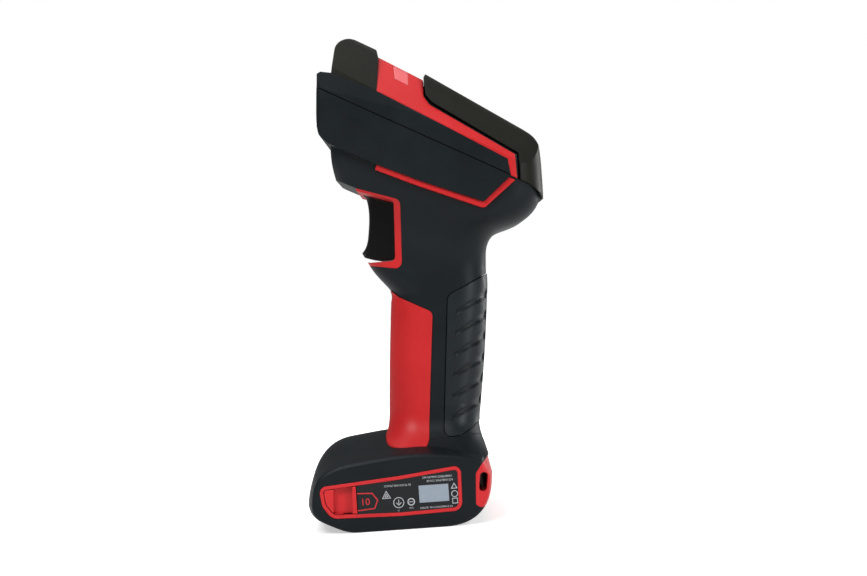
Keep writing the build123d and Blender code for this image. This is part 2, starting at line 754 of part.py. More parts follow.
# hollow of the foot, open to the grip above it
with BuildPart() as foot_hollow:
    add(block(Plane((0.5, 0, ceiling_top)), foot_length - 27.8, 2 * spring_seat - 5.2, 7.8, bay_corner))

with BuildPart() as grip_well:
    add(body_hollow)
    add(box(-13.5, 32.5, -26, 26, ceiling_top, throat_z), mode=Mode.INTERSECT)

lip_length = 7.6
lip_x = bay_x - bay_length / 2 + battery_gap
with BuildPart() as lip_slots:
    add(box(lip_x - 0.4, lip_x + lip_length + 0.4, -bay_width / 2, 2.6 - bay_width / 2,
            bay_height - 1, hook_top + 0.7))
    mirror(about=Plane.XZ)

pin_x = 15.0
with BuildPart() as pin_holes:
    with Locations((pin_x, 0, bay_height)):
        with GridLocations(1, contact_pitch, 1, 5):
            Cylinder(contact_radius, 8)

with BuildPart() as foot_posts:
    for x, y in screw_places:
        add(rod(Plane((x, y, bay_height)), post_radius, post_top - bay_height))

with BuildPart() as foot_screw_space:
    for x, y in screw_places:
        add(rod(Plane((x, y, bay_height - 1)), screw_head_radius,
                counterbore_top + screw_head_radius - bay_height + 1))
        add(rod(Plane((x, y, bay_height)), screw_radius, post_top - bay_height + 1))

with BuildPart() as foot_shell:
    add(body)
    add(below_seam.part, mode=Mode.INTERSECT)
    add(front_grip_space.part, mode=Mode.SUBTRACT)
    add(rear_grip_space.part, mode=Mode.SUBTRACT)
    add(foot_body)
    add(foot_hollow.part, mode=Mode.SUBTRACT)
    add(grip_well.part, mode=Mode.SUBTRACT)
    add(foot_posts.part)
    add(foot_screw_space.part, mode=Mode.SUBTRACT)
    add(battery_bay.part, mode=Mode.SUBTRACT)
    add(lip_slots.part, mode=Mode.SUBTRACT)
    add(pin_holes.part, mode=Mode.SUBTRACT)
    add(latch_pocket.part, mode=Mode.SUBTRACT)
    add(mirror(latch_pocket.part, about=Plane.XZ, mode=Mode.PRIVATE), mode=Mode.SUBTRACT)
    add(label_part(0, side_y + 1, label_floor), mode=Mode.SUBTRACT)
    add(mirror(label_part(0, side_y + 1, label_floor), about=Plane.XZ, mode=Mode.PRIVATE), mode=Mode.SUBTRACT)
    add(prism(side, lanyard_region, [(0, 1.5), (1, 1.5), (2, 1.5), (5, 1.0)]), mode=Mode.SUBTRACT)

with BuildPart() as label_frame_right:
    mirror(label_frame_left.part, about=Plane.XZ)
with BuildPart() as label_plate_right:
    mirror(label_plate_left.part, about=Plane.XZ)

with BuildPart() as foot_screws:
    for x, y in screw_places:
        add(rod(Plane((x, y, counterbore_top + screw_head_radius)), screw_radius, screw_length))
        add(rod(Plane((x, y, counterbore_top)), screw_head_radius - 0.1, screw_head_radius))

write(foot_shell.part, "foot_shell")
write(label_frame_left.part, "label_frame_left")
write(label_frame_right.part, "label_frame_right")
write(label_plate_left.part, "label_plate_left")
write(label_plate_right.part, "label_plate_right")
write(latch_left.part, "latch_left")
write(latch_right.part, "latch_right")
write(latch_spring_left.part, "latch_spring_left")
write(latch_spring_right.part, "latch_spring_right")
write(lanyard_loop.part, "lanyard_loop")
write(foot_screws.part, "foot_screws")

# ---------------------------------------------------------------- battery pack
tray_height = tray_thickness + 0.6
case_top = bay_height - 0.6
case_length = bay_length - 2 * battery_gap
case_width = bay_width - 2 * battery_gap
case_corner = bay_corner - battery_gap
cell_pitch = 2 * cell_radius + 4.6
charge_pitch = 9.0
tray_screw_x = (bay_x - cell_pitch / 2, bay_x + cell_pitch / 2)
tray_screw_y = bay_width / 2 - 6.0
tray_post_radius = 1.9
tray_screw_head = 2.0
tray_screw_radius = 0.9
tray_screw_sink = 1.9
tray_screw_length = 6.0
tray_screw_places = [(x, y) for x in tray_screw_x for y in (-tray_screw_y, tray_screw_y)]
with BuildPart() as battery_case:
    add(block(Plane((bay_x, 0, tray_height)), case_length, case_width, case_top - tray_height, case_corner))
    add(block(Plane((bay_x, 0, tray_height - 1)), case_length - 2 * case_wall, case_width - 2 * case_wall,
              case_top - tray_height + 1 - case_wall, case_corner - case_wall), mode=Mode.SUBTRACT)
    for x, y in tray_screw_places:
        add(rod(Plane((x, y, tray_height)), tray_post_radius, case_top - tray_height - case_wall, tray_screw_radius))
    add(box(lip_x, lip_x + lip_length, -case_width / 2, 1.8 - case_width / 2, case_top - 1, bay_height + 4))
    add(box(hook_low - 0.6, hook_high + 0.6, -case_width / 2 - 1, 2.8 - case_width / 2, bay_height, bay_height + 2.6),
        mode=Mode.SUBTRACT)
    add(box(lip_x, lip_x + lip_length, case_width / 2 - 1.8, case_width / 2, case_top - 1, bay_height + 4))
    add(box(hook_low - 0.6, hook_high + 0.6, case_width / 2 - 2.8, case_width / 2 + 1, bay_height, bay_height + 2.6),
        mode=Mode.SUBTRACT)
    add(block(Plane((bay_x, 0, 0)), case_length, case_width, 2 * bay_height, case_corner), mode=Mode.INTERSECT)

with BuildPart() as battery_tray:
    add(foot_body)
    add(block(Plane((bay_x, 0, -1)), case_length, case_width, tray_height + 1, case_corner), mode=Mode.INTERSECT)
    with Locations((bay_x - 12, 0, 0)):
        with GridLocations(1, charge_pitch, 1, 2):
            Cylinder(charge_pad_radius, 3, mode=Mode.SUBTRACT)
    for x, y in tray_screw_places:
        add(rod(Plane((x, y, -1)), tray_screw_head + 0.2, 1 + tray_screw_sink), mode=Mode.SUBTRACT)
        add(rod(Plane((x, y, -1)), tray_screw_radius, 2 + tray_height), mode=Mode.SUBTRACT)

with BuildPart() as tray_screws:
    for x, y in tray_screw_places:
        add(rod(Plane((x, y, tray_screw_sink - 1.2)), tray_screw_head, 1.2))
        add(rod(Plane((x, y, tray_screw_sink)), tray_screw_radius, tray_screw_length))

with BuildPart() as charge_contacts:
    with Locations((bay_x - 12, 0, 0.9)):
        with GridLocations(1, charge_pitch, 1, 2):
            Cylinder(charge_pad_radius, 1.2)

cell_z = tray_height + cell_radius + 0.9
with BuildPart() as battery_cells:
    for row in range(3):
        x = bay_x + (row - 1) * cell_pitch
        add(rod(Plane((x, -bay_width / 2 + 4.6, cell_z), z_dir=(0, 1, 0)), cell_radius, bay_width - 9.2))

board_top = cell_z + cell_radius + board_thickness
with BuildPart() as battery_board:
    add(box(bay_x - 20, bay_x + 20, -15, 15, board_top - board_thickness, board_top))

with BuildPart() as battery_pads:
    with Locations((pin_x, 0, case_top + 0.1)):
        with GridLocations(1, contact_pitch, 1, 5):
            Box(4, 2.4, 0.2)

with BuildPart() as contact_pins:
    with Locations((pin_x, 0, (case_top + 0.3 + ceiling_top) / 2)):
        with GridLocations(1, contact_pitch, 1, 5):
            Cylinder(contact_radius, ceiling_top - case_top - 0.3)

write(battery_tray.part, "battery_tray")
write(tray_screws.part, "tray_screws")
write(battery_case.part, "battery_case")
write(charge_contacts.part, "charge_contacts")
write(battery_cells.part, "battery_cells")
write(battery_board.part, "battery_board")
write(battery_pads.part, "battery_pads")
write(contact_pins.part, "contact_pins")

# ---------------------------------------------------------------- exit window in the nose
frame_width = window_width + 2 * bezel_frame
frame_height = window_height + 2 * bezel_frame
window_corner = 4.0
window_lip = 1.2
seat_back = window_set_back + window_thickness + gasket_thickness
with BuildPart() as window_bezel:
    add(block(nose_plane.offset(-bezel_depth), frame_width, frame_height, bezel_depth + 0.6,
              window_corner + bezel_frame))
    add(block(nose_plane.offset(-bezel_depth - 1), window_width, window_height, bezel_depth + 3, window_corner),
        mode=Mode.SUBTRACT)
    add(block(nose_plane.offset(-bezel_depth - 1), window_width + 2 * window_lip, window_height + 2 * window_lip,
              bezel_depth + 1 - window_set_back, window_corner + window_lip), mode=Mode.SUBTRACT)

with BuildPart() as exit_window:
    add(block(nose_plane.offset(-window_set_back - window_thickness), window_width + 2 * window_lip,
              window_height + 2 * window_lip, window_thickness, window_corner + window_lip))

with BuildPart() as window_gasket:
    add(block(nose_plane.offset(-seat_back), window_width + 2 * window_lip, window_height + 2 * window_lip,
              gasket_thickness, window_corner + window_lip))
    add(block(nose_plane.offset(-seat_back - 1), window_width, window_height, gasket_thickness + 2, window_corner),
        mode=Mode.SUBTRACT)

with BuildPart() as nose_opening:
    add(block(nose_plane.offset(-bezel_depth), frame_width, frame_height, 20, window_corner + bezel_frame))
    add(block(nose_plane.offset(-11), window_width, window_height, 20, window_corner))

# ---------------------------------------------------------------- scan engine on its bracket
floor_v = -panel_drop + wall + 0.6
bracket_top = floor_v + 3.5
engine_front = engine_set_back + 3.0


def head_box(u_low, u_high, half, v_low, v_high):
    """Block between limits along and up the head, centred across it."""
    with BuildPart() as solid:
        with BuildSketch(head_flat.offset(v_low)):
            with Locations(((u_low + u_high) / 2, 0)):
                Rectangle(u_high - u_low, 2 * half)
        extrude(amount=v_high - v_low)
    return solid.part


with BuildPart() as engine_bracket:
    add(head_box(engine_front + 1.6, engine_front + 18, head_width / 2 - 6.5, floor_v, bracket_top))
    add(head_box(engine_front + 13, engine_front + 16, engine_width / 2, bracket_top, bracket_top + 12))
    add(main_housing.part, mode=Mode.SUBTRACT)

with BuildPart() as engine_chassis:
    add(head_box(engine_front, engine_front + engine_depth, engine_width / 2,
                 bracket_top, bracket_top + engine_height))
    edges = engine_chassis.edges().filter_by(Axis.Y)
    chamfer(edges, 0.8)

lens_v = bracket_top + 8.5
lens_plane = Plane(nose_point + head_along * engine_front + head_up * lens_v, x_dir=(0, 1, 0), z_dir=-head_along)
with BuildPart() as lens_barrel:
    add(rod(lens_plane, barrel_radius, barrel_length, lens_radius))
with BuildPart() as lens_glass:
    add(rod(lens_plane, lens_radius, barrel_length - 1.5))
with BuildPart() as illumination_leds:
    with BuildSketch(lens_plane):
        with GridLocations(18, 11, 2, 2):
            Circle(led_radius)
    extrude(amount=2.2)
with BuildPart() as aimer:
    with BuildSketch(lens_plane):
        with Locations((9.2, 0)):
            Circle(2.4)
    extrude(amount=4)
with BuildPart() as sensor_board:
    add(head_box(engine_front + engine_depth, engine_front + engine_depth + 1, engine_width / 2,
                 bracket_top, bracket_top + engine_height - 1))

# ---------------------------------------------------------------- main board hanging from the roof of the head
board_v = 1.0
board_front = 38.0
board_rear = 88.0
board_half = 27.0
post_u = (board_front + 4, board_rear - 4)
post_half = board_half - 4
main_board_top = board_v + board_thickness
main_post_places = [(u, y) for u in post_u for y in (-post_half, post_half)]


def head_rod(u, y, v, radius, length):
    """Round bar standing on the head's plane at height v."""
    return rod(Plane(nose_point + head_along * u + head_up * v + Vector(0, y, 0), z_dir=head_up), radius, length)


with BuildPart() as roof_posts:
    for u, y in main_post_places:
        add(head_rod(u, y, main_board_top, 2.6, 30))
    add(head_form(-skin - 1), mode=Mode.INTERSECT)

with BuildPart() as main_board:
    add(head_box(board_front, board_rear, board_half, board_v, main_board_top))
with BuildPart() as board_screws:
    for u, y in main_post_places:
        add(head_rod(u, y, board_v - 1.4, screw_head_radius, 1.4))
        add(head_rod(u, y, board_v, screw_radius, 7))
with BuildPart() as board_holes:
    for u, y in main_post_places:
        add(head_rod(u, y, board_v - 2, screw_radius, 9))
with BuildPart() as drilled_board:
    add(main_board.part)
    add(board_holes.part, mode=Mode.SUBTRACT)
with BuildPart() as shield_can:
    add(head_box(board_front + 12, board_front + 30, 9, main_board_top, main_board_top + 2.5))
with BuildPart() as board_chips:
    add(head_box(board_front + 34, board_front + 44, 5, main_board_top, main_board_top + 1.2))
    add(head_box(board_front + 2, board_front + 9, 3.5, main_board_top, main_board_top + 1.0))
with BuildPart() as beeper:
    add(head_rod(board_front + 20, 17, main_board_top, 6, 4))
with BuildPart() as antenna:
    with BuildSketch(head_flat.offset(main_board_top)):
        with Locations((board_front + 20, -18)):
            Rectangle(14, 3)
    extrude(amount=1.0)

# ---------------------------------------------------------------- housings, finished
with BuildPart() as parting_groove:
    add(prism(head_side, [(-40.0, -1.0), (160.0, -1.0), (160.0, groove_height), (-40.0, groove_height)]))
    add(head_form(-groove_depth), mode=Mode.SUBTRACT)

with BuildPart() as upper_shell:
    add(upper_housing.part)
    add(nose_opening.part, mode=Mode.SUBTRACT)
    add(parting_groove.part, mode=Mode.SUBTRACT)
    add(roof_posts.part)
    add(board_holes.part, mode=Mode.SUBTRACT)

floor_thickness = 3.0
boss_length = 7.0
with BuildPart() as housing_floor:
    add(body_inside)
    add(box(-30, 60, -30, 30, post_top, post_top + floor_thickness), mode=Mode.INTERSECT)
    add(box(post_x[0] + post_radius, post_x[1] - post_radius, -11, 11, post_top - 1, post_top + 9),
        mode=Mode.SUBTRACT)

with BuildPart() as floor_bosses:
    for x, y in screw_places:
        add(rod(Plane((x, y, post_top)), post_radius, boss_length))

with BuildPart() as main_shell:
    add(main_housing.part)
    add(housing_floor.part)
    add(floor_bosses.part)
    add(foot_screws.part, mode=Mode.SUBTRACT)
    add(nose_opening.part, mode=Mode.SUBTRACT)

# ---------------------------------------------------------------- trigger and what holds it
pivot_x = throat_x - 23.8
pivot_z = throat_z + 49.7
ear_inner = trigger_width / 2 + 1.5
ear_outer = ear_inner + bracket_thickness
pivot_plane = Plane((pivot_x, 0, pivot_z), x_dir=(1, 0, 0), z_dir=(0, -1, 0))


def from_throat(*points):
    """Points in the side view measured from the throat."""
    return [(throat_x + x, throat_z + z) for x, z in points]


with BuildPart() as trigger:
    with BuildSketch(side):
        with BuildLine():
            Spline(*from_throat((-30.9, 43.9), (-29.9, 39.7), (-29.7, 34.7), (-30.6, 26.2), (-31.8, 21.2),
                                (-34.0, 18.0)))
            Polyline(*from_throat((-34.0, 18.0), (-32.9, 15.9), (-29.2, 14.7), (-25.6, 13.9), (-20.8, 13.9),
                                  (-16.3, 15.5), (-15.3, 38.7), (-20.6, 46.7), (-25.8, 47.2), (-30.9, 43.9)))
        make_face()
    extrude(amount=trigger_width / 2, both=True)
    front_edges = trigger.edges().filter_by(GeomType.BSPLINE)
    fillet(front_edges, 2.5)
    with BuildSketch(side):
        with Locations((pivot_x, pivot_z)):
            Circle(trigger_boss_radius)
    extrude(amount=trigger_width / 2, both=True)
    with BuildSketch(side):
        with Locations((pivot_x, pivot_z)):
            Circle(trigger_pin_radius + pin_clearance)
    extrude(amount=trigger_width, both=True, mode=Mode.SUBTRACT)

with BuildPart() as trigger_pin:
    add(rod(pivot_plane.offset(-trigger_pin_length / 2), trigger_pin_radius, trigger_pin_length))

with BuildPart() as trigger_bracket:
    with BuildSketch(side):
        with BuildLine():
            Polyline(*from_throat((-28.6, 56.0), (-18.6, 56.0), (-18.6, 36.0), (-28.6, 36.0)), close=True)
        make_face()
    extrude(amount=ear_outer, both=True)
    add(box(-reach, reach, -ear_inner, ear_inner, 0, pivot_z + trigger_boss_radius + 0.9), mode=Mode.SUBTRACT)
    add(rod(pivot_plane.offset(-reach), trigger_pin_radius, 2 * reach), mode=Mode.SUBTRACT)
    add(prism(side, opening_region, grow=wall), mode=Mode.SUBTRACT)

# ---------------------------------------------------------------- boards and motor in the grip
board_offset = 1.0
handle_board_foot = ceiling_top + board_thickness
handle_board_top = throat_z + 34.7


def grip_board(offset_low, offset_high, z_low, z_high, half):
    """Block parallel to the grip's centre line, between two offsets behind it."""
    with BuildPart() as solid:
        extrude(outline(side, [
            (grip_axis(z_low) + offset_low, z_low), (grip_axis(z_low) + offset_high, z_low),
            (grip_axis(z_high) + offset_high, z_high), (grip_axis(z_high) + offset_low, z_high)]),
            amount=half, both=True)
    return solid.part


with BuildPart() as contact_board:
    add(box(pin_x - 4.2, pin_x + 4.2, -20, 20, ceiling_top, ceiling_top + board_thickness))
with BuildPart() as handle_board:
    add(grip_board(board_offset, board_offset + board_thickness, handle_board_foot, handle_board_top, 9))
with BuildPart() as vibration_motor:
    add(grip_board(board_offset - 7, board_offset, 64, 76, 4))
switch_z = throat_z + 20.7
with BuildPart() as trigger_switch:
    add(grip_board(board_offset - 11, board_offset, switch_z - 4, switch_z + 4, 5))
    with BuildSketch(Plane((grip_axis(switch_z) + board_offset - 11.4, 0, switch_z), z_dir=(-1, 0, 0))):
        Circle(1.6)
    extrude(amount=3.6)
    with BuildSketch(Plane((grip_axis(switch_z) + board_offset - 11.4, 0, switch_z), z_dir=(1, 0, 0))):
        Circle(1.6)
    extrude(amount=1.5)

spring_z = throat_z + 32.2
spring_start = throat_x - 15.0
with BuildPart() as trigger_spring:
    add(coil((spring_start, 0, spring_z), (1, 0, 0), 2.5, grip_axis(spring_z) + board_offset - spring_start - 0.4, 7))

ribbon_x = grip_axis(handle_board_top) + board_offset + board_thickness
board_edge = head_point(62.0, board_v)
with BuildPart() as ribbon_cable:
    extrude(outline(side, [
        (ribbon_x - 0.4, handle_board_top - 6), (ribbon_x + 0.2, handle_board_top - 6),
        (ribbon_x + 1.0, handle_board_top + 2), (board_edge[0] + 0.6, board_edge[1] - 0.4),
        (board_edge[0], board_edge[1]), (ribbon_x + 0.4, handle_board_top + 2),
    ]), amount=6, both=True)
    add(handle_board.part, mode=Mode.SUBTRACT)
    add(main_board.part, mode=Mode.SUBTRACT)

write(window_bezel.part, "window_bezel")
write(exit_window.part, "exit_window")
write(window_gasket.part, "window_gasket")
write(engine_bracket.part, "engine_bracket")
write(engine_chassis.part, "engine_chassis")
write(lens_barrel.part, "lens_barrel")
write(lens_glass.part, "lens_glass")
write(illumination_leds.part, "illumination_leds")
write(aimer.part, "aimer")
write(sensor_board.part, "sensor_board")
write(drilled_board.part, "main_board")
write(board_screws.part, "board_screws")
write(shield_can.part, "shield_can")
write(board_chips.part, "board_chips")
write(beeper.part, "beeper")
write(antenna.part, "antenna")
write(upper_shell.part, "upper_housing")
write(main_shell.part, "main_housing")
write(trigger.part, "trigger")
write(trigger_pin.part, "trigger_pin")
write(trigger_bracket.part, "trigger_bracket")
write(contact_board.part, "contact_board")
write(handle_board.part, "handle_board")
write(vibration_motor.part, "vibration_motor")
write(trigger_switch.part, "trigger_switch")
write(trigger_spring.part, "trigger_spring")
write(ribbon_cable.part, "ribbon_cable")
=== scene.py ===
# Cordless pistol-grip barcode scanner standing on its foot, on a plain white studio floor.
import math
import bmesh
import bpy
from mathutils import Matrix, Vector


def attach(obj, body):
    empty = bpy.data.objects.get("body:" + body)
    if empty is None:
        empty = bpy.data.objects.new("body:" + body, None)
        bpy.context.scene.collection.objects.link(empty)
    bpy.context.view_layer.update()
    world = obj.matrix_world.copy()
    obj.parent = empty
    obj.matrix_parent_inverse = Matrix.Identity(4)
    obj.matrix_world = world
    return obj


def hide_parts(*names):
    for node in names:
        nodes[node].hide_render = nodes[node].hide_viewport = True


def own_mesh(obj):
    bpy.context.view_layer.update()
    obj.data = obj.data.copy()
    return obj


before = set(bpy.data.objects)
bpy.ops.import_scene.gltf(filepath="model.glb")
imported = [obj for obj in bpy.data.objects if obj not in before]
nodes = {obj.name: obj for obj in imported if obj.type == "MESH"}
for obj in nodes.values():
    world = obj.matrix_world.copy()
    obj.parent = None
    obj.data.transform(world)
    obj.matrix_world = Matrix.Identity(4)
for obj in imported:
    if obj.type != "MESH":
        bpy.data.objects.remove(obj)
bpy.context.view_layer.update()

# ---- Camera ------------------------------------------------------------------------------------
# It stands level with the scanner's middle, square to its left side.
# It is rolled a little, so that the scanner leans in the picture.
scanner_middle = Vector((0.021, 0.0, 0.1033))
viewing_distance = 0.600
roll = math.radians(4.0)
camera_data = bpy.data.cameras.new("studio_camera")
camera_data.lens = 54.2
camera_data.sensor_width = 36.0
camera = bpy.data.objects.new("studio_camera", camera_data)
bpy.context.collection.objects.link(camera)
camera_up = Vector((math.sin(roll), 0.0, math.cos(roll)))
camera_forward = Vector((0.0, 1.0, 0.0))
camera_right = camera_forward.cross(camera_up)
camera.matrix_world = Matrix((
    (camera_right.x, camera_up.x, -camera_forward.x, scanner_middle.x),
    (camera_right.y, camera_up.y, -camera_forward.y, scanner_middle.y - viewing_distance),
    (camera_right.z, camera_up.z, -camera_forward.z, scanner_middle.z),
    (0.0, 0.0, 0.0, 1.0)))
bpy.context.scene.camera = camera
bpy.context.scene.view_settings.view_transform = "Standard"

# ---- Studio floor ------------------------------------------------------------------------------
# White paper that lies flat under the scanner and runs far out of view on every side.
# It shows white to the camera, dimmer near the foot as painted shade, and keeps the foot's soft shadow.
def studio_paper():
    """White paper that glows to the camera, less near the foot as painted shade, where the shadow lies."""
    material = bpy.data.materials.new("studio_paper")
    material.use_nodes = True
    tree = material.node_tree
    tree.nodes.clear()
    output = tree.nodes.new("ShaderNodeOutputMaterial")
    paper = tree.nodes.new("ShaderNodeBsdfDiffuse")
    paper.inputs["Color"].default_value = (0.86, 0.86, 0.86, 1.0)
    glow = tree.nodes.new("ShaderNodeEmission")
    glow.inputs["Color"].default_value = (1.0, 1.0, 1.0, 1.0)
    seen = tree.nodes.new("ShaderNodeLightPath")
    place = tree.nodes.new("ShaderNodeTexCoord")
    distance = tree.nodes.new("ShaderNodeVectorMath")
    distance.operation = "LENGTH"
    tree.links.new(place.outputs["Object"], distance.inputs[0])
    # Painted shade: the glow dims towards the foot, so the paper there is darker under any lamp.
    shade_near_foot = tree.nodes.new("ShaderNodeMapRange")
    shade_near_foot.interpolation_type = "SMOOTHSTEP"
    shade_near_foot.inputs["From Min"].default_value = 0.05
    shade_near_foot.inputs["From Max"].default_value = 0.14
    shade_near_foot.inputs["To Min"].default_value = 0.5
    shade_near_foot.inputs["To Max"].default_value = 1.0
    tree.links.new(distance.outputs["Value"], shade_near_foot.inputs["Value"])
    level = tree.nodes.new("ShaderNodeMath")
    level.operation = "MULTIPLY"
    tree.links.new(seen.outputs["Is Camera Ray"], level.inputs[0])
    tree.links.new(shade_near_foot.outputs["Result"], level.inputs[1])
    tree.links.new(level.outputs[0], glow.inputs["Strength"])
    both = tree.nodes.new("ShaderNodeAddShader")
    tree.links.new(paper.outputs[0], both.inputs[0])
    tree.links.new(glow.outputs[0], both.inputs[1])
    tree.links.new(both.outputs[0], output.inputs["Surface"])
    return material


floor_mesh = bpy.data.meshes.new("studio_floor")
floor_edit = bmesh.new()
floor_reach = 4.0
floor_corners = [(x * floor_reach, y * floor_reach, 0) for x, y in ((-1, -1), (1, -1), (1, 1), (-1, 1))]
floor_edit.faces.new([floor_edit.verts.new(corner) for corner in floor_corners])
floor_edit.to_mesh(floor_mesh)
floor_edit.free()
floor = bpy.data.objects.new("studio_floor", floor_mesh)
floor.data.materials.append(studio_paper())
bpy.context.collection.objects.link(floor)

# ---- Studio light ------------------------------------------------------------------------------
# A large softbox above and to the left, weaker ones on the right and overhead, and a strip behind
# the head. The room adds a low white light, and its own white shows to the camera alone.
def softbox(name, place, width, height, power):
    """Rectangular lamp that faces the scanner, its sides in metres and its power in watts."""
    data = bpy.data.lights.new(name, "AREA")
    data.shape = "RECTANGLE"
    data.size = width
    data.size_y = height
    data.energy = power
    box = bpy.data.objects.new(name, data)
    direction = scanner_middle - Vector(place)
    turn = direction.to_track_quat("-Z", "Y").to_matrix().to_4x4()
    box.matrix_world = Matrix.Translation(Vector(place)) @ turn
    bpy.context.collection.objects.link(box)


softbox("key_softbox", place=(-0.50, -0.85, 1.10), width=0.6, height=0.6, power=13.0)
softbox("fill_softbox", place=(0.95, -0.75, 0.40), width=0.4, height=0.9, power=7.0)
softbox("top_softbox", place=(0.0, 0.15, 1.25), width=0.9, height=0.9, power=7.0)
softbox("rear_strip", place=(0.75, 0.55, 0.30), width=0.25, height=0.8, power=4.0)

world = bpy.data.worlds.new("studio_world")
bpy.context.scene.world = world
world.use_nodes = True
world_tree = world.node_tree
world_tree.nodes.clear()
world_output = world_tree.nodes.new("ShaderNodeOutputWorld")
room = world_tree.nodes.new("ShaderNodeBackground")
room.inputs["Color"].default_value = (1.0, 1.0, 1.0, 1.0)
room_seen = world_tree.nodes.new("ShaderNodeLightPath")
room_level = world_tree.nodes.new("ShaderNodeMapRange")
room_level.inputs["To Min"].default_value = 0.20
room_level.inputs["To Max"].default_value = 1.0
world_tree.links.new(room_seen.outputs["Is Camera Ray"], room_level.inputs["Value"])
world_tree.links.new(room_level.outputs["Result"], room.inputs["Strength"])
world_tree.links.new(room.outputs[0], world_output.inputs["Surface"])

# ---- Housings ----------------------------------------------------------------------------------
# The upper and lower shells, the foot and the battery's tray are moulded in charcoal plastic with a
# fine spark-eroded grain. Every finish further down is mixed the same way as this one.
def moulded(name, tone, shade, gloss, grain_size, grain_depth, edge, smudge=45.0, coat=0.0, level=0.5):
    """Moulded finish: two close tones, a roughness range, grain in metres and a softly rounded edge."""
    material = bpy.data.materials.new(name)
    material.use_nodes = True
    tree = material.node_tree
    shader = tree.nodes["Principled BSDF"]
    place = tree.nodes.new("ShaderNodeTexCoord")
    cloud = tree.nodes.new("ShaderNodeTexNoise")
    cloud.inputs["Scale"].default_value = smudge
    cloud.inputs["Detail"].default_value = 5.0
    cloud.inputs["Roughness"].default_value = 0.62
    tree.links.new(place.outputs["Object"], cloud.inputs["Vector"])
    tones = tree.nodes.new("ShaderNodeValToRGB")
    tones.color_ramp.elements[0].position = 0.32
    tones.color_ramp.elements[1].position = 0.68
    tones.color_ramp.elements[0].color = (*shade, 1.0)
    tones.color_ramp.elements[1].color = (*tone, 1.0)
    tree.links.new(cloud.outputs["Fac"], tones.inputs["Fac"])
    tree.links.new(tones.outputs["Color"], shader.inputs["Base Color"])
    grain = tree.nodes.new("ShaderNodeTexNoise")
    grain.inputs["Scale"].default_value = 1.0 / grain_size
    grain.inputs["Detail"].default_value = 3.0
    grain.inputs["Roughness"].default_value = 0.7
    tree.links.new(place.outputs["Object"], grain.inputs["Vector"])
    polish = tree.nodes.new("ShaderNodeMapRange")
    polish.inputs["From Min"].default_value = 0.3
    polish.inputs["From Max"].default_value = 0.7
    polish.inputs["To Min"].default_value = gloss[0]
    polish.inputs["To Max"].default_value = gloss[1]
    tree.links.new(cloud.outputs["Fac"], polish.inputs["Value"])
    tree.links.new(polish.outputs["Result"], shader.inputs["Roughness"])
    rounding = tree.nodes.new("ShaderNodeBevel")
    rounding.samples = 4
    rounding.inputs["Radius"].default_value = edge
    relief = tree.nodes.new("ShaderNodeBump")
    relief.inputs["Strength"].default_value = 0.55
    relief.inputs["Distance"].default_value = grain_depth
    tree.links.new(grain.outputs["Fac"], relief.inputs["Height"])
    tree.links.new(rounding.outputs["Normal"], relief.inputs["Normal"])
    tree.links.new(relief.outputs["Normal"], shader.inputs["Normal"])
    shader.inputs["Specular IOR Level"].default_value = level
    shader.inputs["Coat Weight"].default_value = coat
    shader.inputs["Coat Roughness"].default_value = 0.08
    return material


def dress(material, *names):
    """Give the material to CAD nodes by name."""
    for name in names:
        slots = nodes[name].data.materials
        slots.clear()
        slots.append(material)


charcoal = (0.0062, 0.0098, 0.0122)
charcoal_shade = (0.0046, 0.0074, 0.0094)
housing_plastic = moulded(
    "housing_plastic", tone=charcoal, shade=charcoal_shade, gloss=(0.38, 0.47),
    grain_size=0.00045, grain_depth=0.00006, edge=0.0006, level=0.17)
dress(housing_plastic, "main_housing", "upper_housing", "foot_shell", "battery_tray")

# ---- Rubber hood, bumper and rear grip ---------------------------------------------------------
# Soft-touch rubber moulded over the nose, the rear of the head and the back of the grip.
# The rubber of the head is duller and a little browner than the plastic.
rubber_tone = (0.0100, 0.0100, 0.0070)
rubber_shade = (0.0072, 0.0072, 0.0052)
black_rubber = moulded(
    "black_rubber", tone=rubber_tone, shade=rubber_shade, gloss=(0.42, 0.52),
    grain_size=0.0006, grain_depth=0.00005, edge=0.0009, level=0.14)
dress(black_rubber, "nose_hood", "rear_bumper")
grip_rubber = moulded(
    "grip_rubber", tone=(0.0080, 0.0130, 0.0160), shade=(0.0062, 0.0100, 0.0125), gloss=(0.34, 0.42),
    grain_size=0.0006, grain_depth=0.00004, edge=0.0005, level=0.26)
dress(grip_rubber, "rear_grip")

# ---- Red skins ---------------------------------------------------------------------------------
# Red soft-touch rubber on the head band, the finger side of the grip and the trigger opening,
# with a thin red line let in under each side panel.
red_tone = (0.53, 0.015, 0.017)
red_shade = (0.47, 0.012, 0.014)
red_rubber = moulded(
    "red_rubber", tone=red_tone, shade=red_shade, gloss=(0.38, 0.47),
    grain_size=0.0007, grain_depth=0.00003, edge=0.0008, level=0.24)
dress(red_rubber, "head_band", "front_grip", "trigger_surround", "trim_line_left", "trim_line_right")

# ---- Status window -----------------------------------------------------------------------------
# Milky light guide for the indicator lamps, moulded in pale red plastic.
# It is let into the red band behind the hood, across the whole roof.
status_plastic = moulded(
    "status_plastic", tone=(0.70, 0.13, 0.14), shade=(0.62, 0.10, 0.11), gloss=(0.22, 0.3),
    grain_size=0.0009, grain_depth=0.00001, edge=0.0005)
dress(status_plastic, "status_window")

# ---- Exit window -------------------------------------------------------------------------------
# Dark tinted window in a glossy black frame, sealed by a foam ring and pressed into the nose.
# The battery's case and the lens barrel are moulded in the same glossy plastic.
def see_through(material, share):
    """Let a share of the light through."""
    material.node_tree.nodes["Principled BSDF"].inputs["Transmission Weight"].default_value = share


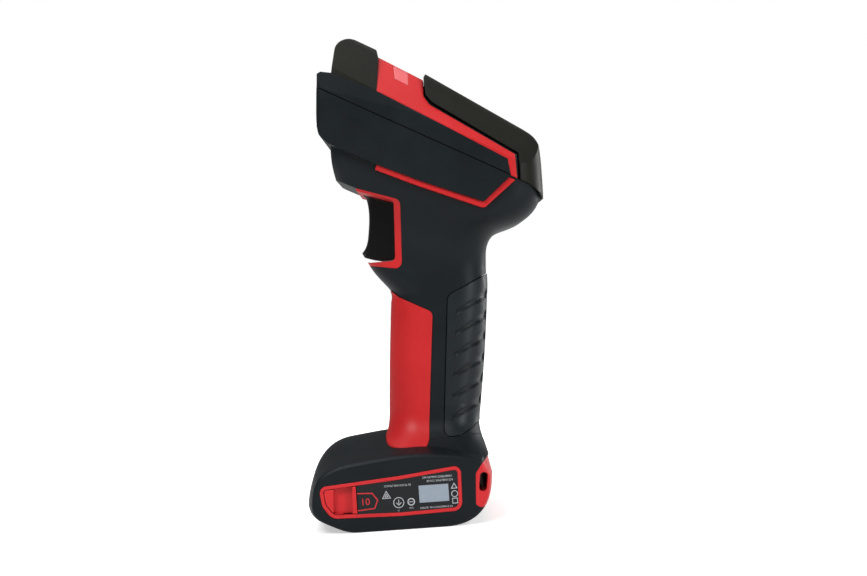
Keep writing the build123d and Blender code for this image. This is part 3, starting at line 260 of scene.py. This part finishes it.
glossy_black = moulded(
    "glossy_black", tone=(0.012, 0.012, 0.013), shade=(0.009, 0.009, 0.010), gloss=(0.12, 0.2),
    grain_size=0.0012, grain_depth=0.000004, edge=0.0007, coat=0.5)
dress(glossy_black, "window_bezel", "battery_case", "lens_barrel")
foam = moulded(
    "foam_ring", tone=(0.02, 0.02, 0.02), shade=(0.012, 0.012, 0.012), gloss=(0.8, 0.95),
    grain_size=0.0003, grain_depth=0.00008, edge=0.0003)
dress(foam, "window_gasket")
tinted_glass = moulded(
    "tinted_glass", tone=(0.05, 0.035, 0.04), shade=(0.04, 0.03, 0.035), gloss=(0.02, 0.05),
    grain_size=0.004, grain_depth=0.000001, edge=0.0003)
see_through(tinted_glass, share=0.85)
tinted_glass.node_tree.nodes["Principled BSDF"].inputs["IOR"].default_value = 1.49
dress(tinted_glass, "exit_window")

# ---- Trigger -----------------------------------------------------------------------------------
# Polished black plastic lever with a curved finger face.
# It turns on a steel pin at its top, and a coil spring pushes it forwards.
trigger_gloss = moulded(
    "trigger_gloss", tone=(0.0035, 0.0037, 0.0040), shade=(0.0028, 0.0030, 0.0032), gloss=(0.13, 0.2),
    grain_size=0.0015, grain_depth=0.000004, edge=0.0012, coat=0.2, level=0.3)
dress(trigger_gloss, "trigger")

# ---- Foot fittings -----------------------------------------------------------------------------
# The label frames, the latch caps and the lanyard bar are red plastic, let into the foot's walls.
# The label plates inside the frames are covered with black film.
red_plastic = moulded(
    "red_plastic", tone=(0.60, 0.020, 0.024), shade=(0.54, 0.016, 0.020), gloss=(0.32, 0.40),
    grain_size=0.0006, grain_depth=0.00002, edge=0.0005, level=0.28)
dress(red_plastic, "label_frame_left", "label_frame_right", "latch_left", "latch_right", "lanyard_loop")
label_film = moulded(
    "label_film", tone=(0.0080, 0.0095, 0.0115), shade=(0.0065, 0.0080, 0.0095), gloss=(0.36, 0.44),
    grain_size=0.001, grain_depth=0.000008, edge=0.0003, level=0.3)
dress(label_film, "label_plate_left", "label_plate_right")

# ---- Label prints ------------------------------------------------------------------------------
# Screen prints on the two label plates: a blank grey write-on patch, a red outlined tag that starts
# at the latch cap, and rows of plain digits and bare marks in white ink. The ink stands 0.03 mm
# proud of the plates, and its places along a plate and above the floor are in millimetres.
ink_face = 0.03703
ink_root = 0.03698
per_metre = 1000
same_point = 1e-6
size_over_height = 1.4


def painted(name, tone, shade, gloss):
    """Thin layer of ink."""
    return moulded(name, tone, shade, gloss, grain_size=0.0008, grain_depth=0.000002, edge=0.00005,
                   smudge=160.0, level=0.3)


white_ink = painted("white_ink", (0.50, 0.52, 0.54), (0.42, 0.44, 0.46), (0.5, 0.6))
red_ink = painted("red_ink", (0.60, 0.03, 0.035), (0.52, 0.025, 0.03), (0.45, 0.55))
grey_patch = painted("grey_patch", (0.29, 0.34, 0.40), (0.26, 0.31, 0.37), (0.5, 0.6))


def slab(edit, corners):
    """Thin polygon of ink, from corners (along the plate, height) in millimetres."""
    front = [edit.verts.new((x / per_metre, -ink_face, z / per_metre)) for x, z in corners]
    back = [edit.verts.new((x / per_metre, -ink_root, z / per_metre)) for x, z in corners]
    edit.faces.new(front)
    edit.faces.new(back[::-1])
    for i in range(len(corners)):
        j = (i + 1) % len(corners)
        edit.faces.new((front[j], front[i], back[i], back[j]))


def stroke(edit, points, width=0.30):
    """Drawn line with mitred corners, closed if it ends where it starts, in millimetres."""
    closed = math.dist(points[0], points[-1]) < same_point
    path = points[:-1] if closed else points
    count = len(path)
    sides = ([], [])
    for i, (x, z) in enumerate(path):
        before = path[i - 1] if closed or i > 0 else path[i]
        after = path[(i + 1) % count] if closed or i < count - 1 else path[i]
        here = (x, z)
        legs = [Vector((b[0] - a[0], b[1] - a[1])) for a, b in ((before, here), (here, after)) if a != b]
        normals = [Vector((-leg.y, leg.x)).normalized() for leg in legs]
        normal = sum(normals, Vector((0.0, 0.0))).normalized()
        reach = width / 2 / normal.dot(normals[0])
        for side, sign in zip(sides, (1, -1)):
            side.append((x + sign * normal.x * reach, z + sign * normal.y * reach))
    layers = [[edit.verts.new((x / per_metre, -y, z / per_metre)) for x, z in side]
              for y in (ink_face, ink_root) for side in sides]
    left, right, left_root, right_root = layers
    for i in range(count if closed else count - 1):
        j = (i + 1) % count
        edit.faces.new((left[i], left[j], right[j], right[i]))
        edit.faces.new((left_root[i], right_root[i], right_root[j], left_root[j]))
        edit.faces.new((left[i], left_root[i], left_root[j], left[j]))
        edit.faces.new((right[j], right_root[j], right_root[i], right[i]))
    if not closed:
        edit.faces.new((left[0], right[0], right_root[0], left_root[0]))
        edit.faces.new((left[-1], left_root[-1], right_root[-1], right[-1]))


def ring(x, z, radius, corners, turn=0.0):
    """Corners of a regular outline round x, z, closed, in millimetres."""
    turns = [turn + 2 * math.pi * i / corners for i in range(corners)]
    outline = [(x + radius * math.cos(angle), z + radius * math.sin(angle)) for angle in turns]
    return outline + outline[:1]


def digits(edit, text, x, z, height):
    """Row of plain digits that starts at x, in millimetres."""
    data = bpy.data.curves.new("digits", "FONT")
    data.body = text
    data.size = height / per_metre * size_over_height
    data.resolution_u = 3
    data.extrude = (ink_face - ink_root) / 2
    row = bpy.data.objects.new("digits", data)
    bpy.context.collection.objects.link(row)
    start = Matrix.Translation((x / per_metre, -(ink_face + ink_root) / 2, z / per_metre))
    row.matrix_world = start @ Matrix.Rotation(math.radians(90), 4, "X")
    bpy.context.view_layer.update()
    shape = bpy.data.meshes.new_from_object(row)
    shape.transform(row.matrix_world)
    edit.from_mesh(shape)
    bpy.data.objects.remove(row)
    bpy.data.meshes.remove(shape)


def printed(name, edit, material, turned=False):
    """Finish a print, turned half round for the right plate, and fix it to the body."""
    if turned:
        bmesh.ops.rotate(edit, cent=(0, 0, 0), matrix=Matrix.Rotation(math.pi, 3, "Z"), verts=edit.verts)
    bmesh.ops.recalc_face_normals(edit, faces=edit.faces)
    mesh = bpy.data.meshes.new(name)
    edit.to_mesh(mesh)
    edit.free()
    mesh.materials.append(material)
    piece = bpy.data.objects.new(name, mesh)
    bpy.context.collection.objects.link(piece)
    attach(piece, "scanner_body")


patch_start = 8.6
patch_end = 21.4
patch_low = 11.3
patch_high = 18.7


def write_on_patch(name, start, end, turned=False):
    """Blank grey patch between two places along the plate, in millimetres."""
    patch = bmesh.new()
    slab(patch, [(start, patch_low), (end, patch_low), (end, patch_high), (start, patch_high)])
    printed(name, patch, grey_patch, turned)


write_on_patch("patch_left", patch_start, patch_end)

tag = bmesh.new()
stroke(tag, [(-18.2, 17.1), (-11.6, 16.8), (-9.4, 13.7), (-10.9, 10.2), (-18.2, 9.7)], width=0.5)
digits(tag, "10", -16.9, 11.9, 3.0)
printed("tag_left", tag, red_ink)

marks = bmesh.new()
stroke(marks, ring(-5.5, 15.2, 2.0, 3, math.pi / 2))
stroke(marks, ring(-5.5, 15.2, 0.8, 3, math.pi / 2))
stroke(marks, ring(-0.4, 12.0, 2.2, 28))
stroke(marks, [(-0.4, 13.3), (-0.4, 10.9), (-1.5, 12.0)])
stroke(marks, [(-0.4, 10.9), (0.7, 12.0)])
stroke(marks, ring(5.0, 12.0, 1.4, 24), width=0.45)
stroke(marks, [(4.2, 12.0), (5.8, 12.0)])
stroke(marks, ring(23.9, 17.3, 1.4, 3, math.pi / 2))
stroke(marks, ring(23.9, 14.2, 1.3, 24))
stroke(marks, ring(23.9, 11.2, 1.5, 4, math.pi / 4))
digits(marks, "1234567 8901234 56 78", -6.4, 19.0, 0.85)
digits(marks, "234 56789012345678901", 10.4, 21.6, 0.9)
digits(marks, "89 012 345678901234", 12.2, 20.0, 0.9)
digits(marks, "345678  90123456789012 34", 8.6, 8.6, 0.85)
digits(marks, "01", -1.1, 8.3, 0.7)
digits(marks, "012", 4.1, 9.0, 0.8)
printed("marks_left", marks, white_ink)

write_on_patch("patch_right", -patch_end, -patch_start, turned=True)

marks = bmesh.new()
stroke(marks, ring(-4.6, 14.6, 2.0, 24))
digits(marks, "12 345 67890", -21.2, 20.4, 0.9)
digits(marks, "2345678901234", -6.0, 9.2, 0.85)
digits(marks, "6789012345", -1.0, 14.0, 0.9)
printed("marks_right", marks, white_ink, turned=True)

# ---- Tray screw sockets ------------------------------------------------------------------------
# Four steel screws hold the tray under the battery, their heads sunk below its flat face.
# Each head shows a thin near-black hexagon over its socket, painted shade for the hollow.
screws_apart_along = 0.0146
screws_apart_across = 0.042
screws_middle = (0.001, 0.0, 0.00069)
socket_radius = 0.0011
socket_depth = 0.00006


def repeated_sockets():
    """Node group that puts a hexagon at each corner of the screws' rectangle."""
    group = bpy.data.node_groups.new("screw_sockets", "GeometryNodeTree")
    panel = group.interface
    panel.new_socket(name="Geometry", in_out="OUTPUT", socket_type="NodeSocketGeometry")
    fields = [panel.new_socket(name=label, in_out="INPUT", socket_type=kind) for label, kind in (
        ("Spacing along", "NodeSocketFloat"), ("Spacing across", "NodeSocketFloat"),
        ("Middle", "NodeSocketVector"), ("Socket radius", "NodeSocketFloat"),
        ("Socket depth", "NodeSocketFloat"), ("Material", "NodeSocketMaterial"))]
    given = group.nodes.new("NodeGroupInput")
    places = group.nodes.new("GeometryNodeMeshGrid")
    places.inputs["Vertices X"].default_value = 2
    places.inputs["Vertices Y"].default_value = 2
    group.links.new(given.outputs["Spacing along"], places.inputs["Size X"])
    group.links.new(given.outputs["Spacing across"], places.inputs["Size Y"])
    hexagon = group.nodes.new("GeometryNodeMeshCylinder")
    hexagon.inputs["Vertices"].default_value = 6
    group.links.new(given.outputs["Socket radius"], hexagon.inputs["Radius"])
    group.links.new(given.outputs["Socket depth"], hexagon.inputs["Depth"])
    moved = group.nodes.new("GeometryNodeTransform")
    group.links.new(places.outputs["Mesh"], moved.inputs["Geometry"])
    group.links.new(given.outputs["Middle"], moved.inputs["Translation"])
    spread = group.nodes.new("GeometryNodeInstanceOnPoints")
    group.links.new(moved.outputs["Geometry"], spread.inputs["Points"])
    group.links.new(hexagon.outputs["Mesh"], spread.inputs["Instance"])
    real = group.nodes.new("GeometryNodeRealizeInstances")
    group.links.new(spread.outputs["Instances"], real.inputs["Geometry"])
    painted_sockets = group.nodes.new("GeometryNodeSetMaterial")
    group.links.new(real.outputs["Geometry"], painted_sockets.inputs["Geometry"])
    group.links.new(given.outputs["Material"], painted_sockets.inputs["Material"])
    result = group.nodes.new("NodeGroupOutput")
    group.links.new(painted_sockets.outputs["Geometry"], result.inputs["Geometry"])
    return group, fields


# Painted shade: the sockets' hollows are coloured near-black instead of showing steel in shadow.
painted_socket_shade = painted("painted_socket_shade", (0.006, 0.006, 0.006), (0.004, 0.004, 0.004), (0.4, 0.5))
socket_group, socket_fields = repeated_sockets()
socket_values = (screws_apart_along, screws_apart_across, screws_middle, socket_radius, socket_depth,
                 painted_socket_shade)
maker = bpy.data.objects.new("socket_maker", bpy.data.meshes.new("socket_maker"))
bpy.context.collection.objects.link(maker)
modifier = maker.modifiers.new("sockets", "NODES")
modifier.node_group = socket_group
for field, value in zip(socket_fields, socket_values):
    modifier[field.identifier] = value
socket_mesh = bpy.data.meshes.new_from_object(maker.evaluated_get(bpy.context.evaluated_depsgraph_get()))
bpy.data.objects.remove(maker)
sockets = bpy.data.objects.new("tray_screw_sockets", socket_mesh)
bpy.context.collection.objects.link(sockets)
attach(sockets, "battery_pack")

# ---- Screws, springs and brackets --------------------------------------------------------------
# Plain steel screws, coil springs, the trigger's pin and bracket, the engine's bracket, the shield
# can on the board and the motor's shell. All but the tray screws are fastened inside.
def bare_metal(material):
    """Turn a finish into bare or plated metal."""
    material.node_tree.nodes["Principled BSDF"].inputs["Metallic"].default_value = 1.0


steel = moulded(
    "plain_steel", tone=(0.5, 0.5, 0.5), shade=(0.42, 0.42, 0.43), gloss=(0.25, 0.4),
    grain_size=0.0004, grain_depth=0.00001, edge=0.0003)
bare_metal(steel)
dress(steel, "tray_screws", "latch_spring_left", "latch_spring_right", "foot_screws", "board_screws",
      "shield_can", "trigger_pin", "trigger_bracket", "vibration_motor", "trigger_spring", "engine_bracket")

# ---- Spring copies on their seats --------------------------------------------------------------
# Steel wire coils behind the trigger and the two latch caps, each standing on its seat in the body.
def squashed_spring(name):
    """Copy of a coil with a mesh of its own, fixed to the body in place of the hidden original."""
    shape = nodes[name].data.copy()
    shape.transform(nodes[name].matrix_world)
    coil = bpy.data.objects.new(name + "_coil", shape)
    bpy.context.collection.objects.link(coil)
    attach(coil, "scanner_body")
    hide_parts(name)
    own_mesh(coil)


squashed_spring("latch_spring_left")
squashed_spring("latch_spring_right")
squashed_spring("trigger_spring")

# ---- Contacts, boards, lenses and cells ---------------------------------------------------------
# Gold-plated contacts, green boards with black chips, clear lenses, blue cell sleeves and the
# orange film of the ribbon cable.
gold = moulded(
    "gold_plate", tone=(0.83, 0.6, 0.25), shade=(0.75, 0.52, 0.2), gloss=(0.2, 0.3),
    grain_size=0.0005, grain_depth=0.000005, edge=0.0002)
bare_metal(gold)
dress(gold, "charge_contacts", "battery_pads", "contact_pins", "antenna")
board_green = moulded(
    "board_green", tone=(0.012, 0.09, 0.035), shade=(0.01, 0.07, 0.028), gloss=(0.3, 0.4),
    grain_size=0.0008, grain_depth=0.00001, edge=0.0002)
dress(board_green, "battery_board", "sensor_board", "main_board", "contact_board", "handle_board")
chip_black = moulded(
    "chip_black", tone=(0.02, 0.02, 0.02), shade=(0.014, 0.014, 0.014), gloss=(0.5, 0.6),
    grain_size=0.0003, grain_depth=0.00001, edge=0.0002)
dress(chip_black, "engine_chassis", "board_chips", "beeper", "trigger_switch")
clear_lens = moulded(
    "clear_lens", tone=(0.8, 0.82, 0.85), shade=(0.75, 0.78, 0.8), gloss=(0.04, 0.08),
    grain_size=0.002, grain_depth=0.000001, edge=0.0002)
see_through(clear_lens, share=0.8)
dress(clear_lens, "lens_glass", "illumination_leds", "aimer")
cell_sleeve = moulded(
    "cell_sleeve", tone=(0.03, 0.12, 0.3), shade=(0.025, 0.1, 0.26), gloss=(0.3, 0.4),
    grain_size=0.001, grain_depth=0.00001, edge=0.0003)
dress(cell_sleeve, "battery_cells")
film = moulded(
    "ribbon_film", tone=(0.45, 0.22, 0.04), shade=(0.38, 0.18, 0.03), gloss=(0.3, 0.4),
    grain_size=0.001, grain_depth=0.00001, edge=0.0001)
dress(film, "ribbon_cable")
